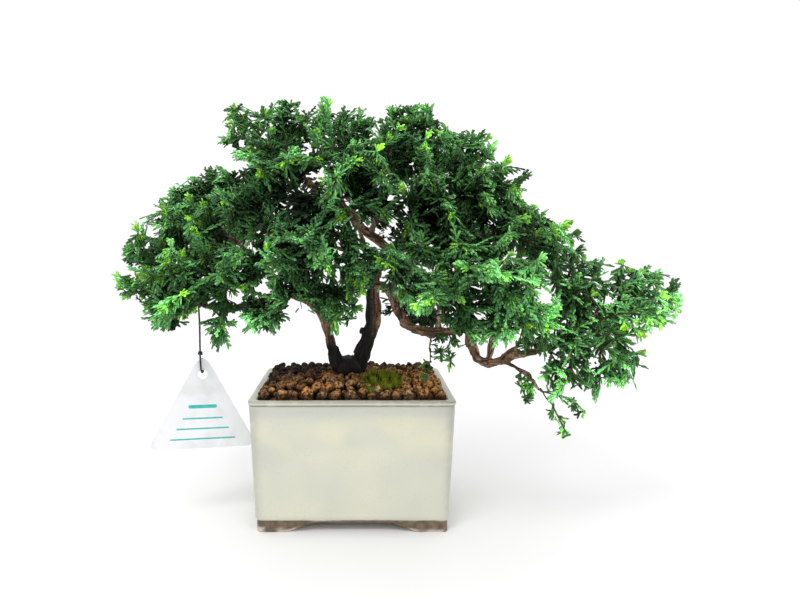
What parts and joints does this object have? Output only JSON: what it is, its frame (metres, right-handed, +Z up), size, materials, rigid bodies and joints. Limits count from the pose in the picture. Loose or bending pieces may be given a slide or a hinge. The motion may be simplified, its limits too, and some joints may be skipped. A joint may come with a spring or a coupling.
{
  "type": "bonsai tree",
  "caption": "Hinoki cypress bonsai with a forked trunk and feathery flat sprays, in a low rectangular glazed pot with four feet, with a blank plant tag hanging from a cord.",
  "frame": {"origin": "middle of the footprint of the plant and pot, on the ground under the pot's feet, measured without the hanging tag and its cord", "axes": "+Z up, +X along the pot's long side, +Y from the front with the tag and the moss towards the back"},
  "size_m": [0.348, 0.221, 0.2842],
  "materials": {
    "pot": "glossy cream glaze over bare brown clay at the base and the feet",
    "drain_mesh": "dark moulded mesh",
    "soil": "damp orange-brown to black grit of 5 to 8 mm",
    "moss": "fine upright green moss",
    "bark": "flaking red-brown bark, nearly black low down",
    "leaf": "deep green scale leaves with yellow-green tips",
    "tag": "smooth white sheet",
    "cord": "dark round cord"
  },
  "bodies": {
    "root": {"pot": "pot", "drain_mesh": "drain_mesh", "soil": "soil", "moss": "moss", "trunk": "bark", "tag": "tag", "tag_cord": "cord", "tag_knot": "cord", "tag_hitch": "cord", "spray_01_trunkleft": "leaf", "spray_02_trunkleft": "leaf", "spray_03_trunkleft": "leaf", "spray_04_trunkleft": "leaf", "spray_05_trunkleft": "leaf", "spray_06_trunkleft": "leaf", "spray_07_leftrise": "leaf", "spray_08_leftrise": "leaf", "spray_09_leftrise": "leaf", "spray_10_leftrise": "leaf", "spray_11_leftinner": "leaf", "spray_12_leftinner": "leaf", "spray_13_leftinner": "leaf", "spray_14_centrerise": "leaf", "spray_15_centrerise": "leaf", "spray_16_centrerise": "leaf", "spray_17_topleft": "leaf", "spray_18_topleft": "leaf", "spray_19_topleft": "leaf", "spray_20_upperlimb": "leaf", "spray_21_upperlimb": "leaf", "spray_22_upperlimb": "leaf", "spray_23_topright": "leaf", "spray_24_topright": "leaf", "spray_25_topright": "leaf", "spray_26_upperright": "leaf", "spray_27_upperright": "leaf", "spray_28_upperright": "leaf", "spray_29_upperright": "leaf", "spray_30_rightmid": "leaf", "spray_31_rightmid": "leaf", "spray_32_rightmid": "leaf", "spray_33_rightmid": "leaf", "spray_34_frontrise": "leaf", "spray_35_frontrise": "leaf", "spray_36_innerrise": "leaf", "spray_37_innerrise": "leaf", "spray_38_lowlimb": "leaf", "spray_39_lowlimb": "leaf", "spray_40_lowlimb": "leaf", "spray_41_lowlimb": "leaf", "spray_42_lowlimb": "leaf", "spray_43_lowlimb": "leaf", "spray_44_hanging": "leaf", "spray_45_hanging": "leaf", "spray_46_sprigstem": "leaf", "spray_47_backmid": "leaf", "spray_48_backleft": "leaf", "spray_49_backleft": "leaf", "spray_50_backright": "leaf", "spray_51_backright": "leaf"}
  },
  "joints": []
}
